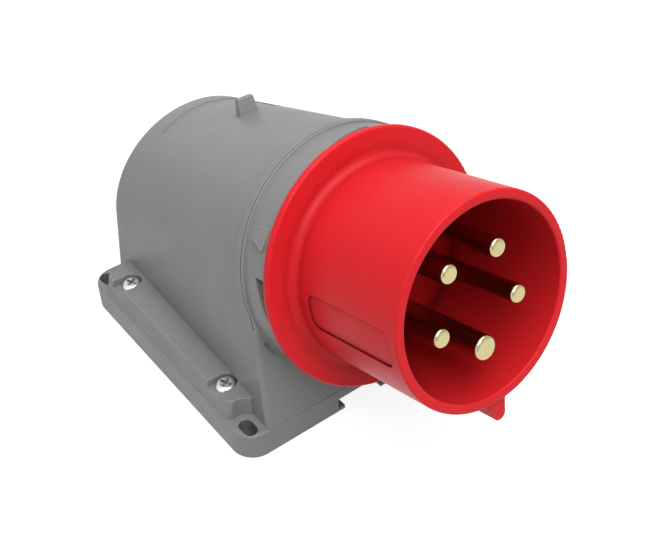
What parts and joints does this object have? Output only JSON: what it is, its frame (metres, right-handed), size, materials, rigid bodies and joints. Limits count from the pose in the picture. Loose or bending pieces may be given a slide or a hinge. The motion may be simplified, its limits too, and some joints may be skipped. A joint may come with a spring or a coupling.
{
  "type": "industrial power plug",
  "caption": "Surface-mounting industrial power plug: red keyed shroud round brass contact pins, on a grey tilted housing and slotted base plate.",
  "frame": {"origin": "centre of the mounting face, on the wall", "axes": "+Z out of the wall; +X towards the mating connector, whose way in rises 16.25 degrees from the wall; +Y to the right of a person who faces the pins"},
  "size_m": [0.1645, 0.1044, 0.1063],
  "materials": {
    "grey_plastic": "satin moulded",
    "red_plastic": "satin moulded",
    "dark_plastic": "matt moulded",
    "brass": "turned",
    "plated_steel": "bright zinc plated",
    "black_rubber": "matt"
  },
  "bodies": {
    "root": {"base_plate": "grey_plastic", "housing": "grey_plastic", "plug_shroud": "red_plastic", "contact_carrier": "dark_plastic", "line_1_pin": "brass", "line_2_pin": "brass", "line_3_pin": "brass", "neutral_pin": "brass", "earth_pin": "brass", "line_terminal_screws": "plated_steel", "earth_terminal_screws": "plated_steel", "carrier_screws": "plated_steel", "cover_screws": "plated_steel", "insert_lock_screw": "plated_steel", "line_pin_seals": "black_rubber", "earth_pin_seal": "black_rubber", "cover_screw_seals": "black_rubber", "flange_gasket": "black_rubber", "base_gasket": "black_rubber", "entry_grommet": "black_rubber"}
  },
  "joints": []
}
